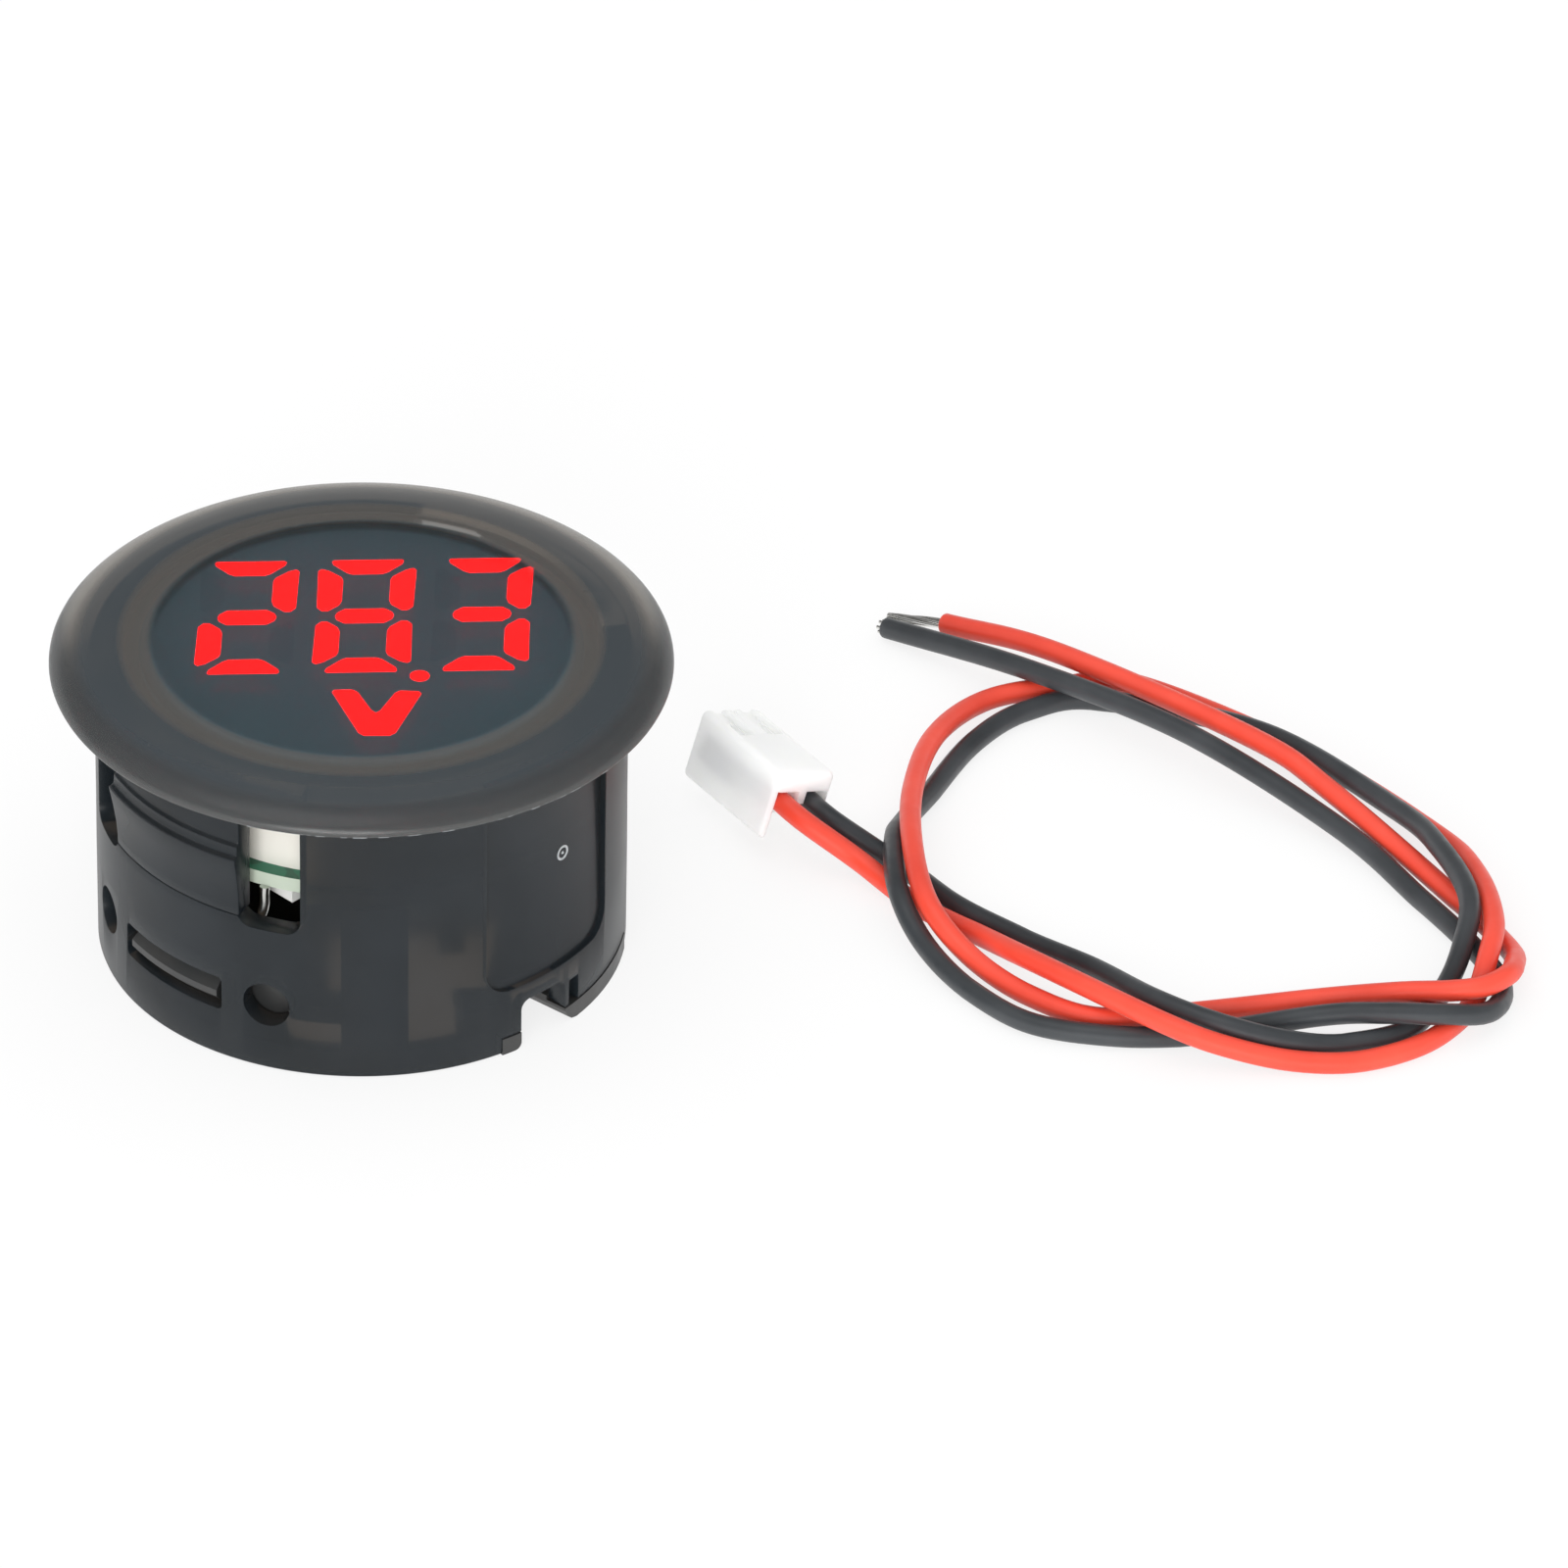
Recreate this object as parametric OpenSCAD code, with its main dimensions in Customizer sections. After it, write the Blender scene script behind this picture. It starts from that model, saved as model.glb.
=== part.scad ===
// Round snap-in panel voltmeter with a separate two-wire lead.
// Millimetres. Origin: centre of the back rim. +Z points to the display, +Y is up on the display.
// An azimuth is counted from the front (-Y) towards +X.

/* [Housing] */
// Diameter of the barrel, which goes through the panel hole
barrel_d = 29; // [28.8:0.1:29.2]
// Diameter of the flange
flange_d = 34; // [33:0.5:36]
// Height of the flange seat above the back rim
seat_z = 17.5; // [17.5:0.1:18]
// Thickness of the barrel wall
wall = 1.35; // [1.2:0.05:1.4]
// Thickness of the window in front of the display
window_t = 1.4; // [1.2:0.1:1.6]
// Height of the domed front above the flange seat
dome_h = 1.6; // [1.6:0.1:2]

/* [Snap clips] */
// Azimuth of the front clip; the other is opposite
clip_az = -45.5; // [-48:0.5:-43]
// Half of the angle that a clip spans
clip_half = 19.5; // [18:0.5:20]
// Angle of the slot at each side of a clip
slot_angle = 14; // [12:1:15]
// Height at which the clips start to bend
clip_root_z = 9.6; // [9.5:0.05:9.8]
// Height of the clips' free ends
clip_tip_z = 16.5; // [16:0.1:16.5]
// How far the ratchet stands out of the barrel
ratchet_out = 0.5; // [0.3:0.05:0.6]

/* [Display] */
// Height of a digit
digit_h = 10.95; // [10:0.05:11]
// Width of a digit
digit_w = 5.4; // [5:0.1:5.5]
// Distance between digits
digit_pitch = 6.4; // [6.3:0.02:6.42]
// Width of a segment
segment_w = 1.4; // [1.2:0.1:1.5]
// Slant of the digits
digit_lean = 3.5; // [0:0.5:5]
// Turn of the display in its housing
display_turn = 2.6; // [0:0.2:3]

/* [Lead] */
// Diameter over the insulation of each wire
wire_d = 1.2; // [1:0.05:1.2]
// Distance between the two contacts
contact_pitch = 2; // [1.9:0.1:2.1]
// Width of the plug
plug_w = 4; // [3.9:0.1:4.1]
// Thickness of the plug
plug_h = 4.15; // [4.1:0.05:4.2]
// Length of the plug
plug_l = 7.8; // [7.6:0.1:8]

/* [Hidden] */
$fn = 96;
eps = 0.01;

barrel_r = barrel_d / 2;
bore_r = barrel_r - wall;
flange_r = flange_d / 2;
front_z = seat_z + dome_h;
window_z = front_z - window_t;
lip_t = 0.15;
dome_flat_r = 12;
dome_steps = 14;
rim_chamfer = 0.25;
land_z = [6.2, 9.05];
draft = [0.04, 0.03];

// openings of the barrel
slot_z = 9.1;
slot_round = 0.9;
slot_overlap = 0.3;
slot_top_z = seat_z - 0.06;
lug_window_z = [3.05, 5.15];
lug_window_half = 15;
side_hole_d = 2.7;
side_hole_z = 4.2;
side_hole_az = 25.7;
panel_az = [29, 67];
panel_depth = 0.35;
panel_z = 4.1;
panel_round = 1.5;
notch_az = [38, 51];
notch_z = 3.05;
tab_az = [33, 83];
tab_z = 1.1;
relief_az = [52.3, 55.6];
relief_z = [0.9, 2.7];

// rear cover
ring_r = 11.8;
ring_z = 1.3;
floor_z = 3;
floor_t = 1;
guard_half = 29;
guard_z = 5.75;
post_az = [4.5, 90, 184.5, 270];
post_half = 8;
post_r = 11.5;
tongue_az = [23.5, 37.8];
tongue_z = 2.9;
light_gap_az = [11.9, 25.1];
seam = 0.08;

// stack behind the window
mask_t = 0.3;
head_r = 12.9;
mask_r = 12.1;
head_t = 0.5;
reflector_r = 11.5;
board_r = 12.4;
board_t = 0.85;
board_z = 10.5;
board_top = board_z + board_t;
mask_z = window_z - mask_t;
head_z = mask_z - head_t;
segment_depth = mask_t + head_t;

digit_base_y = -2.48;
digit_center_x = -0.1;
// segments in the order top, upper right, lower right, bottom, lower left, upper left, middle
shown = [[1, 1, 0, 1, 1, 0, 1], [1, 1, 1, 1, 1, 1, 1], [1, 1, 1, 1, 0, 0, 1]];
point_pos = [3.09, -2.92];
point_r = 0.54;

// header under the board
header_pos = [2.5, -5.5];
plug_room = 0.15;
header_wall = 0.8;
header_z = 5.3;
header_base_t = 1.2;
pin_t = 0.64;
pin_tip_z = 6.5;
mouth_x = [-1.5, 6.5];
mouth_y = [-10.5, -1.5];

display_pin_r = 0.25;
display_pin_pitch = 2.54;
display_pin_y = 9.5;
front_pins = [0, 1, 2];
back_pins = [-2, -1, 0, 1, 2];
display_pin_tip_z = 10;

// lead, as it lies on the table
plug_pos = [21.1, 11.1];
plug_roll = 19;
plug_yaw = 34.5;
contact_z = 2.25;
channel_w = 1.5;
channel_l = 3.2;
wire_start = 1.6;
wire_r = wire_d / 2;
wire_sides = 8;

// route of each wire, from inside the plug to its free end
red_route = [plug_point([-contact_pitch / 2, -plug_l / 2 + wire_start, contact_z]),
    plug_point([-0.8, -plug_l / 2 - 1.4, contact_z - 0.2]),
    [27.12, 5.26, 1.2], [30.53, 1.64, 0.6], [33.85, -1.29, 0.75], [37.1, -5.51, 1.8],
    [43.89, -11.47, 2.1], [47.15, -12.63, 1.45], [50.92, -12.9, 0.7], [54.59, -12.71, 0.6],
    [58.14, -10.85, 0.6], [60.5, -7.71, 0.65], [61.56, -4.5, 1.85], [61.95, -0.92, 2.05],
    [61.04, 4.17, 1.6], [58.97, 8.59, 1], [52.14, 16.67, 0.6], [42.77, 23.53, 0.6],
    [38.44, 23.32, 0.6], [34.28, 21.57, 0.85], [31.43, 16.75, 1.75], [30.17, 10.65, 2.4],
    [30.11, 4.58, 2.85], [31, -0.62, 2.4], [33.21, -3.55, 1.05], [36.21, -6.53, 0.6],
    [39.8, -8.75, 0.6], [44.05, -8.53, 0.6], [52.59, -7.29, 0.95], [56.74, -7.92, 1.85],
    [59.4, -7.95, 2], [61.2, -7.75, 2.15], [62.5, -6.7, 2.15], [63, -4.9, 1.65],
    [62.8, -2, 0.72], [59.96, 3, 0.6], [53.21, 11.68, 1.72], [48.97, 15.85, 2.35],
    [38.18, 24.79, 1.9], [31.88, 29.4, 0.7]];
black_route = [plug_point([contact_pitch / 2, -plug_l / 2 + wire_start, contact_z]),
    plug_point([1.2, -plug_l / 2 - 1.4, contact_z - 0.2]),
    [28.91, 6.19, 0.6], [32.57, 1.77, 0.6], [36.42, -1.54, 0.6], [39.94, -4.69, 1.05],
    [43.29, -8.92, 1.95], [46.73, -11.16, 1.95], [50.29, -11.68, 1.25], [53.56, -11.15, 0.6],
    [57.1, -9.71, 0.6], [59.1, -5.98, 0.6], [60.19, -3.08, 1.5], [60.62, 0.37, 2.45],
    [59.16, 5.23, 2.35], [56.8, 9.76, 1.85], [49.63, 17.55, 1.55], [40.79, 21.96, 0.6],
    [36.54, 20.94, 0.6], [33.57, 17.77, 0.6], [31.23, 12.93, 0.6], [29.63, 8.96, 1.15],
    [29.15, 6.07, 1.95], [29.35, 1, 2.15], [30.75, -2.46, 1.05], [33.15, -6.14, 0.6],
    [36.37, -9.29, 0.6], [40.4, -10.47, 0.6], [44.72, -10.53, 0.6], [52.46, -9.4, 1.3],
    [56.06, -10.12, 2], [58.94, -10.03, 1.9], [61.54, -8.8, 1.2], [62.37, -5.78, 0.6],
    [61.15, -2.33, 0.6], [58.03, 2.91, 0.6], [53.69, 8.95, 1.1], [45.36, 16.48, 2.2],
    [36.66, 22.93, 1.95], [28.59, 29.09, 0.6]];
red_strand_tip = [28.7, 30.33, 0.5];
strand_r = 0.28;

smoke = [0.20, 0.21, 0.22, 0.75];
cover_smoke = [0.16, 0.17, 0.18, 0.85];
lit_red = [1, 0, 0];
tin = [0.80, 0.80, 0.78];
brass = [0.85, 0.72, 0.42];
nylon = [0.95, 0.95, 0.92];

// ---------- helpers ----------

// a block of the barrel's wall between two azimuths
module sector(az, r, z) {
    rotate([0, 0, az[0] - 90])
        rotate_extrude(angle = az[1] - az[0])
            translate([r[0], z[0]])
                square([r[1] - r[0], z[1] - z[0]]);
}

// a rod that runs outwards at an azimuth, from radius r[0] to r[1]
module spoke(az, r, z, d) {
    rotate([0, 0, az])
        translate([0, -r[0], z])
            rotate([90, 0, 0])
                cylinder(d = d, h = r[1] - r[0], $fn = 32);
}

// outline of an opening in the wall; foot and head are its corner radii
function opening(w, z, foot, head) = let (n = 5)
    concat(
        [for (i = [0:n]) let (a = 90 * i / n)
            [-w / 2 + foot * (1 - cos(a)), z[0] + foot * (1 - sin(a))]],
        [for (i = [0:n]) let (a = 90 * i / n)
            [w / 2 - foot * (1 - sin(a)), z[0] + foot * (1 - cos(a))]],
        [for (i = [0:n]) let (a = 90 * i / n)
            [w / 2 - head * (1 - cos(a)), z[1] - head * (1 - sin(a))]],
        [for (i = [0:n]) let (a = 90 * i / n)
            [-w / 2 + head * (1 - sin(a)), z[1] - head * (1 - cos(a))]]);

// cuts an opening of an angular width outwards through the wall
module wall_cut(az, half, z, foot = 0.01, head = 0.01) {
    rotate([0, 0, az])
        translate([0, -bore_r + 2, 0])
            rotate([90, 0, 0])
                linear_extrude(wall + 3)
                    polygon(opening(2 * barrel_r * sin(half), z, foot, head));
}

module at_clips() {
    for (a = [clip_az, clip_az + 180])
        rotate([0, 0, a])
            children();
}

// height of the domed front at radius r
function dome_z(r) = let (t = max(0, (r - dome_flat_r) / (flange_r - dome_flat_r)))
    seat_z + lip_t + (dome_h - lip_t) * sqrt(1 - min(1, t * t));

// ---------- housing ----------

// the barrel, the flange and the domed window are one moulding; the barrel tapers
// above and below the plain land that centres it in the panel
module front_housing() {
    color(smoke)
        difference() {
            rotate_extrude()
                polygon(concat(
                    [[0, front_z]],
                    [for (i = [0:dome_steps])
                        let (r = dome_flat_r + (flange_r - dome_flat_r) * sin(90 * i / dome_steps))
                            [r, dome_z(r)]],
                    [[flange_r, seat_z], [barrel_r + draft[1], seat_z],
                        [barrel_r, land_z[1]], [barrel_r, land_z[0]],
                        [barrel_r - draft[0], rim_chamfer],
                        [barrel_r - draft[0] - rim_chamfer, 0], [bore_r, 0],
                        [bore_r, window_z], [0, window_z]]));
            at_clips()
                clip_openings();
            wall_cut((notch_az[0] + notch_az[1]) / 2, (notch_az[1] - notch_az[0]) / 2,
                [-1, notch_z], head = 0.6);
            sector([tab_az[0], notch_az[0] + 1], [bore_r - 1, barrel_r + 1], [-1, tab_z]);
            sector([notch_az[1] - 1, tab_az[1]], [bore_r - 1, barrel_r + 1], [-1, tab_z]);
            panel_recess();
            sector(relief_az, [barrel_r - 0.5, barrel_r + 1], relief_z);
        }
}

// a shallow field with round lower corners in the barrel's side
module panel_recess() {
    intersection() {
        wall_cut((panel_az[0] + panel_az[1]) / 2, (panel_az[1] - panel_az[0]) / 2,
            [panel_z, slot_top_z], foot = panel_round);
        difference() {
            cylinder(r = barrel_r + 1, h = seat_z);
            translate([0, 0, -1])
                cylinder(r = barrel_r - panel_depth, h = seat_z + 2);
        }
    }
}

// what one clip needs: room for the arm and its slots, the lug window and two holes
module clip_openings() {
    through = [bore_r - 1, barrel_r + 1];
    slot_end = clip_half + slot_angle;
    slot_half = slot_angle / 2 + slot_overlap;
    sector([-clip_half - 1, clip_half + 1], through, [clip_root_z, slot_top_z - 0.1]);
    for (side = [-1, 1]) {
        wall_cut(side * (slot_end - slot_half), slot_half, [slot_z, slot_top_z],
            foot = slot_round);
        rotate([0, 0, side * side_hole_az]) {
            spoke(0, through, side_hole_z, side_hole_d);
            translate([0, -barrel_r + 0.3, side_hole_z])
                rotate([90, 0, 0])
                    cylinder(d1 = side_hole_d - 0.02, d2 = side_hole_d + 1.2, h = 0.6, $fn = 32);
        }
    }
    wall_cut(0, lug_window_half, lug_window_z, foot = 0.15, head = 0.15);
}

// a sprung arm with a two-step ratchet that grips the panel from behind
module snap_clip() {
    steps = [[barrel_r, clip_root_z], [barrel_r, clip_root_z + 0.6],
        [barrel_r + ratchet_out, 13.5], [barrel_r + ratchet_out - 0.3, 13.65],
        [barrel_r + ratchet_out - 0.3, 14.2], [barrel_r, 14.35], [barrel_r, clip_tip_z],
        [bore_r, clip_tip_z], [bore_r, clip_root_z]];
    color(smoke)
        rotate([0, 0, -clip_half - 90])
            rotate_extrude(angle = 2 * clip_half)
                polygon(steps);
}

module snap_clip_front() {
    rotate([0, 0, clip_az])
        snap_clip();
}

module snap_clip_back() {
    rotate([0, 0, clip_az + 180])
        snap_clip();
}

// closes the barrel from behind, snaps in by two lugs and carries the board on four posts
module rear_cover() {
    inside = bore_r - 0.1;
    color(cover_smoke)
        difference() {
            union() {
                difference() {
                    cylinder(r = bore_r, h = ring_z);
                    translate([0, 0, -1])
                        cylinder(r = ring_r, h = ring_z + 2);
                }
                translate([0, 0, floor_z])
                    cylinder(r = inside - 0.1, h = floor_t);
                at_clips() {
                    sector([-guard_half, guard_half], [ring_r + 0.1, inside], [0.4, guard_z]);
                    lug();
                }
                for (a = post_az)
                    sector([a - post_half, a + post_half], [post_r, inside], [0.5, board_z]);
                sector(tongue_az, [ring_r + 0.15, inside], [0.3, tongue_z]);
                sector([tab_az[0], notch_az[0] + 1], [ring_r + 0.5, barrel_r],
                    [0, tab_z - seam]);
                sector([notch_az[1] - 1, tab_az[1]], [ring_r + 0.5, barrel_r],
                    [0, tab_z - seam]);
            }
            sector(notch_az, [ring_r - 1, barrel_r + 1], [-1, notch_z]);
            strip_end(notch_az[1], 1);
            strip_end(notch_az[0], 0.4);
            sector(light_gap_az, [8, barrel_r + 1], [ring_z + 0.1, board_z + 1]);
            translate([mouth_x[0], mouth_y[0], floor_z - 1])
                cube([mouth_x[1] - mouth_x[0], mouth_y[1] - mouth_y[0], floor_t + 2]);
        }
}

// rounds the lower corner of a strip that ends at the notch
module strip_end(az, size) {
    rotate([0, 0, az])
        translate([0, -bore_r + 2, 0])
            rotate([90, 0, 0])
                linear_extrude(wall + 3)
                    mirror([az < 45 ? 1 : 0, 0])
                        scale(size)
                            polygon([[-0.6, -1], [1.1, -1], [1.05, -0.01], [0.55, 0.12],
                                [0.2, 0.42], [0.03, 0.78], [-0.2, 1.4], [-0.6, 1.4]]);
}

// a half-round lug on the rear cover, seen in the housing's window
module lug() {
    half = lug_window_half - 1.5;
    z = lug_window_z;
    rotate([0, 0, -half - 90])
        rotate_extrude(angle = 2 * half)
            polygon([[bore_r - 0.5, z[0] + 0.3], [barrel_r - 0.5, z[0] + 0.3],
                [barrel_r - 0.1, z[0] + 0.7], [barrel_r - 0.1, z[0] + 1.1],
                [bore_r + 0.3, z[1] - 0.1], [bore_r - 0.5, z[1] - 0.1]]);
}

// ---------- display ----------

// white reflector block of the display, with a well under each segment
module display_reflector() {
    color("white")
        difference() {
            union() {
                translate([0, 0, board_top])
                    cylinder(r = reflector_r, h = head_z - board_top + eps);
                translate([0, 0, head_z])
                    cylinder(r = head_r, h = head_t);
            }
            translate([0, 0, head_z])
                linear_extrude(head_t + 1) {
                    all_segments([1, 1, 1, 1, 1, 1, 1]);
                    point_shape();
                    volt_shape();
                }
        }
}

// dark film on the front of the display
module display_mask() {
    color([0.07, 0.075, 0.085])
        translate([0, 0, mask_z])
            linear_extrude(mask_t)
                difference() {
                    circle(r = mask_r);
                    all_segments([1, 1, 1, 1, 1, 1, 1]);
                    point_shape();
                    volt_shape();
                }
}

// outline of one segment of a digit whose lower left corner is at the origin; the corners
// that face each other are cut at a slant, which leaves a dark gap between segments
module segment_shape(i) {
    w = digit_w;
    h = digit_h;
    t = segment_w;
    m = h / 2;
    upright = [[0.02, 1.05], [0.2, 0.85], [0.6, 1.03], [t - 0.12, 1.64], [t, 1.98],
        [t, m - 1.48], [t - 0.13, m - 1.08], [0.68, m - 0.52], [0.36, m - 0.52],
        [0.08, m - 0.88]];
    level = [[0.84, 0], [w - 0.84, 0], [w - 0.74, 0.14], [w - 0.82, 0.42], [w - 1.55, t - 0.2],
        [w - 1.88, t], [1.88, t], [1.55, t - 0.2], [0.82, 0.42], [0.74, 0.14]];
    bar = [[1.1, m], [1.2, m - 0.34], [1.62, m - t / 2], [w - 1.62, m - t / 2],
        [w - 1.2, m - 0.34], [w - 1.1, m], [w - 1.2, m + 0.34], [w - 1.62, m + t / 2],
        [1.62, m + t / 2], [1.2, m + 0.34]];
    if (i == 0)
        slanted([for (p = level) [p[0], h - p[1]]]);
    if (i == 1)
        slanted([for (p = upright) [w - p[0], h - p[1]]]);
    if (i == 2)
        slanted([for (p = upright) [w - p[0], p[1]]]);
    if (i == 3)
        slanted(level);
    if (i == 4)
        slanted(upright);
    if (i == 5)
        slanted([for (p = upright) [p[0], h - p[1]]]);
    if (i == 6)
        slanted(bar);
}

// an outline whose tops lean to the right by the slant of the digits
module slanted(outline) {
    polygon([for (p = outline) [p[0] + p[1] * tan(digit_lean), p[1]]]);
}

// one digit with the segments that its pattern names
module digit(pattern) {
    for (i = [0:6])
        if (pattern[i] == 1)
            segment_shape(i);
}

module place_digit(n) {
    rotate(display_turn)
        translate([digit_center_x - digit_w / 2 + (n - 1) * digit_pitch, digit_base_y])
            children();
}

module all_segments(pattern) {
    for (n = [0:2])
        place_digit(n)
            digit(pattern);
}

module point_shape() {
    rotate(display_turn)
        translate(point_pos)
            circle(r = point_r, $fn = 32);
}

module volt_shape() {
    rotate(display_turn)
        polygon([[-1.70, -4.35], [-1.55, -4.15], [-0.61, -4.15], [-0.32, -4.39], [0.38, -6.16],
        [0.63, -6.44], [0.90, -6.19], [1.72, -4.53], [2.01, -4.32], [3.00, -4.41],
        [3.13, -4.65], [1.64, -8.38], [1.33, -8.64], [-0.07, -8.61], [-0.36, -8.32]]);
}

module lit_segments() {
    color(lit_red)
        translate([0, 0, head_z])
            linear_extrude(segment_depth)
                for (n = [0:2])
                    place_digit(n)
                        digit(shown[n]);
}

module unlit_segments() {
    color([0.10, 0.10, 0.11])
        translate([0, 0, head_z])
            linear_extrude(segment_depth)
                for (n = [0:2])
                    place_digit(n)
                        digit([for (s = shown[n]) 1 - s]);
}

module decimal_point() {
    color(lit_red)
        translate([0, 0, head_z])
            linear_extrude(segment_depth)
                point_shape();
}

module volt_icon() {
    color(lit_red)
        translate([0, 0, head_z])
            linear_extrude(segment_depth)
                volt_shape();
}

// both rows of pins under the display
module at_display_pins() {
    for (i = front_pins)
        translate([i * display_pin_pitch, -display_pin_y, 0])
            children();
    for (i = back_pins)
        translate([i * display_pin_pitch, display_pin_y, 0])
            children();
}

module display_pins() {
    color(tin)
        at_display_pins()
            translate([0, 0, display_pin_tip_z])
                cylinder(r = display_pin_r, h = board_top - display_pin_tip_z, $fn = 20);
}

// ---------- board ----------

module circuit_board() {
    color([0.05, 0.42, 0.28])
        translate([0, 0, board_z])
            difference() {
                cylinder(r = board_r, h = board_t);
                at_display_pins()
                    translate([0, 0, -1])
                        cylinder(r = display_pin_r + 0.1, h = board_t + 2, $fn = 20);
                at_header_pins()
                    translate([0, 0, -1])
                        cylinder(r = 0.5, h = board_t + 2, $fn = 20);
            }
}

// solder cones on the back of the board
module solder_joints() {
    color(tin)
        difference() {
            at_display_pins()
                translate([0, 0, board_z - 0.7])
                    cylinder(r1 = 0.35, r2 = 0.75, h = 0.7, $fn = 24);
            at_display_pins()
                cylinder(r = display_pin_r, h = board_top, $fn = 20);
        }
}

// a block that hangs under the board
module under_board(pos, size, turn = 0) {
    translate([pos[0], pos[1], board_z - size[2]])
        rotate([0, 0, turn])
            translate([-size[0] / 2, -size[1] / 2, 0])
                cube(size);
}

module controller_chip() {
    color([0.08, 0.08, 0.09])
        translate([-5, 3, board_z - 1.15])
            translate([-3.25, -2.2, 0])
                cube([6.5, 4.4, 1.05]);
}

// ten bent legs at each long side of the controller
module chip_legs() {
    color(tin)
        for (side = [-1, 1], i = [0:9])
            translate([-5 + (i - 4.5) * 0.65, 3, board_z])
                rotate([0, 0, side * 90])
                    leg();
}

module leg() {
    translate([2.2, 0.11, -0.65])
        rotate([90, 0, 0])
            linear_extrude(0.22)
                polygon([[0, 0], [0, -0.13], [0.4, -0.13], [0.52, 0.52], [1, 0.52], [1, 0.65],
                    [0.4, 0.65], [0.28, 0]]);
}

module regulator() {
    color([0.08, 0.08, 0.09])
        under_board([7.2, 2.2], [4.5, 2.5, 1.5], 90);
    color(tin)
        for (y = [0.7, 2.2, 3.7])
            under_board([5.5, y], [1, 0.45, 0.4]);
}

// a chip with tinned ends; its length is given without them
module chip(pos, size, cap, turn, tint) {
    translate([pos[0], pos[1], board_z - size[2]])
        rotate([0, 0, turn]) {
            color(tint)
                translate([-size[0] / 2, -size[1] / 2, 0])
                    cube(size);
            color(tin)
                for (side = [-1, 1])
                    translate([side * (size[0] / 2 + cap / 2 - eps) - cap / 2, -size[1] / 2, 0])
                        cube([cap, size[1], size[2]]);
        }
}

module protection_diode() {
    chip([4.2, 7], [4.3, 2.6, 2], 0.5, 0, [0.10, 0.10, 0.11]);
}

resistor_pos = [[-8.5, -2, 90], [-6.6, -2, 90], [-4.7, -2, 90], [-8, -5.4, 0], [-5.2, -5.4, 0],
    [-1.6, 7.2, 0]];
capacitor_pos = [[7.6, -2.6, 90], [0.4, 1.4, 90], [-5.5, 7.3, 0]];

module resistors() {
    for (p = resistor_pos)
        chip([p[0], p[1]], [1.3, 1.25, 0.5], 0.35, p[2], [0.09, 0.09, 0.10]);
}

module capacitors() {
    for (p = capacitor_pos)
        chip([p[0], p[1]], [2.2, 1.6, 1.1], 0.4, p[2], [0.76, 0.62, 0.44]);
}

// white ceramic fuse that shows in the front clip's slot
module chip_fuse() {
    chip([-4, -9.9], [2.2, 1.6, 1], 0.4, -45, [0.95, 0.95, 0.93]);
}

// ---------- header ----------

module at_header_pins() {
    for (side = [-1, 1])
        translate([header_pos[0] + side * contact_pitch / 2, header_pos[1], 0])
            children();
}

// shroud that takes the plug from behind
module header_housing() {
    room = [plug_w + 2 * plug_room, plug_h + 2 * plug_room];
    outer = [room[0] + 2 * header_wall, room[1] + 2 * header_wall];
    color(nylon)
        difference() {
            translate([header_pos[0] - outer[0] / 2, header_pos[1] - outer[1] / 2, header_z])
                cube([outer[0], outer[1], board_z - header_z]);
            translate([header_pos[0] - room[0] / 2, header_pos[1] - room[1] / 2, header_z - 1])
                cube([room[0], room[1], board_z - header_z + 1 - header_base_t]);
            translate([header_pos[0] - 1.6, header_pos[1] - outer[1], header_z - 1])
                cube([3.2, outer[1] - room[1] / 2, 3.2]);
            at_header_pins()
                pin_blank(board_z - 2, board_z + 1);
        }
}

module pin_blank(z1, z2) {
    translate([-pin_t / 2, -pin_t / 2, z1])
        cube([pin_t, pin_t, z2 - z1]);
}

module header_pins() {
    color(tin)
        at_header_pins()
            pin_blank(pin_tip_z, board_top);
}

// ---------- lead ----------

// a point of the plug's own frame, where the wires leave along -Y, put on the table
function plug_point(p) =
    let (s = sin(plug_roll), c = cos(plug_roll), x = p[0] * c + p[2] * s,
        z = p[2] * c - p[0] * s + plug_w / 2 * s)
        [plug_pos[0] + x * cos(plug_yaw) - p[1] * sin(plug_yaw),
            plug_pos[1] + x * sin(plug_yaw) + p[1] * cos(plug_yaw), z];

module on_table() {
    translate([plug_pos[0], plug_pos[1], plug_w / 2 * sin(plug_roll)])
        rotate([0, plug_roll, plug_yaw])
            children();
}

// plug with two contact channels, open below at the wire end
module plug_housing() {
    color(nylon)
        on_table()
            difference() {
                translate([-plug_w / 2, -plug_l / 2, 0])
                    cube([plug_w, plug_l, plug_h]);
                for (x = [-contact_pitch / 2, contact_pitch / 2]) {
                    translate([x - channel_w / 2, -plug_l / 2 - 1, contact_z - channel_w / 2])
                        cube([channel_w, plug_l, channel_w]);
                    translate([x - 0.45, 0, contact_z - 0.45])
                        cube([0.9, plug_l, 0.9]);
                    translate([x - 0.55, plug_l / 2 - 3.2, plug_h - 0.45])
                        cube([1.1, 4, 1]);
                    translate([x - 0.4, plug_l / 2 - 2.9, contact_z])
                        cube([0.8, 1.6, plug_h]);
                }
                translate([-contact_pitch / 2 - channel_w / 2, -plug_l / 2 - 1, -1])
                    cube([contact_pitch + channel_w, channel_l + 1, contact_z + 1]);
            }
}

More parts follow.
